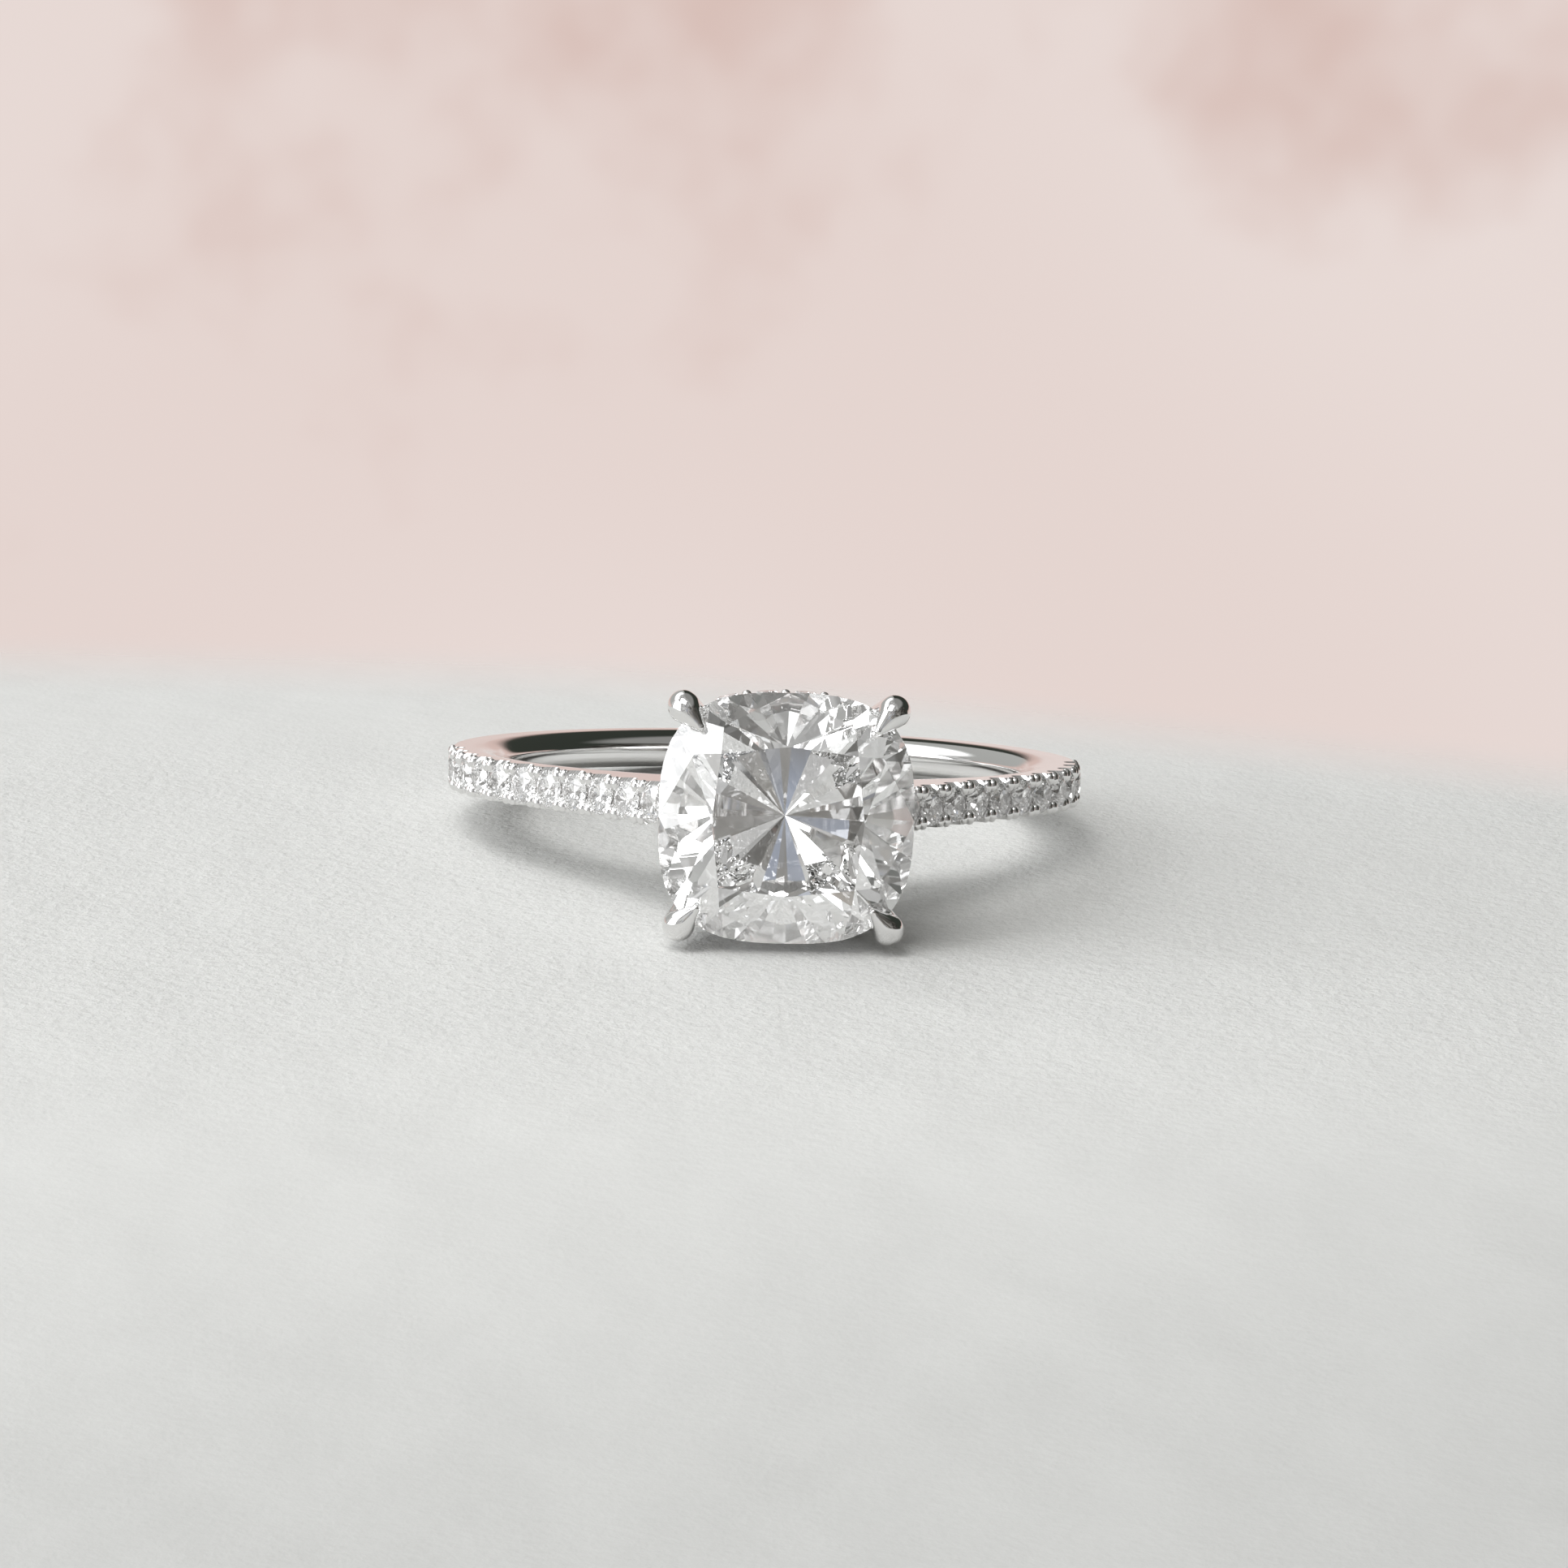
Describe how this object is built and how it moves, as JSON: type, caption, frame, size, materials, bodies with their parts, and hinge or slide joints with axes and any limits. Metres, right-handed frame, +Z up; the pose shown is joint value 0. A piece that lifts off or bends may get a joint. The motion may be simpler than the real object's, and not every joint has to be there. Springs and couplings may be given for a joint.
{
  "type": "engagement ring",
  "caption": "Finger ring with a square cushion-cut centre stone in a claw basket, a hidden halo below it and a pave-set band with straight raised shoulders.",
  "frame": {"origin": "on the surface the ring lies on, under the middle of its box", "axes": "+Z up from the surface, close to the finger axis, which leans 7.4 degrees toward +Y; the centre stone faces -Y; +X to the viewer's right"},
  "size_m": [0.0204, 0.026, 0.0075],
  "materials": {
    "white_metal": "mirror polish, rhodium plated",
    "centre_gem": "faceted and polished, colourless",
    "small_gem": "faceted and polished, colourless"
  },
  "bodies": {
    "root": {"shank": "white_metal", "gallery_base": "white_metal", "halo_rail": "white_metal", "claw_upper_left": "white_metal", "claw_upper_right": "white_metal", "claw_lower_left": "white_metal", "claw_lower_right": "white_metal", "centre_stone": "centre_gem", "pave_left_1": "small_gem", "pave_left_2": "small_gem", "pave_left_3": "small_gem", "pave_left_4": "small_gem", "pave_left_5": "small_gem", "pave_left_6": "small_gem", "pave_left_7": "small_gem", "pave_left_8": "small_gem", "pave_left_9": "small_gem", "pave_left_10": "small_gem", "pave_left_11": "small_gem", "pave_right_1": "small_gem", "pave_right_2": "small_gem", "pave_right_3": "small_gem", "pave_right_4": "small_gem", "pave_right_5": "small_gem", "pave_right_6": "small_gem", "pave_right_7": "small_gem", "pave_right_8": "small_gem", "pave_right_9": "small_gem", "pave_right_10": "small_gem", "pave_right_11": "small_gem", "halo_1": "small_gem", "halo_2": "small_gem", "halo_3": "small_gem", "halo_4": "small_gem", "halo_5": "small_gem", "halo_6": "small_gem", "halo_7": "small_gem", "halo_8": "small_gem", "halo_9": "small_gem", "halo_10": "small_gem", "halo_11": "small_gem", "halo_12": "small_gem", "halo_13": "small_gem", "halo_14": "small_gem", "halo_15": "small_gem", "halo_16": "small_gem"}
  },
  "joints": []
}
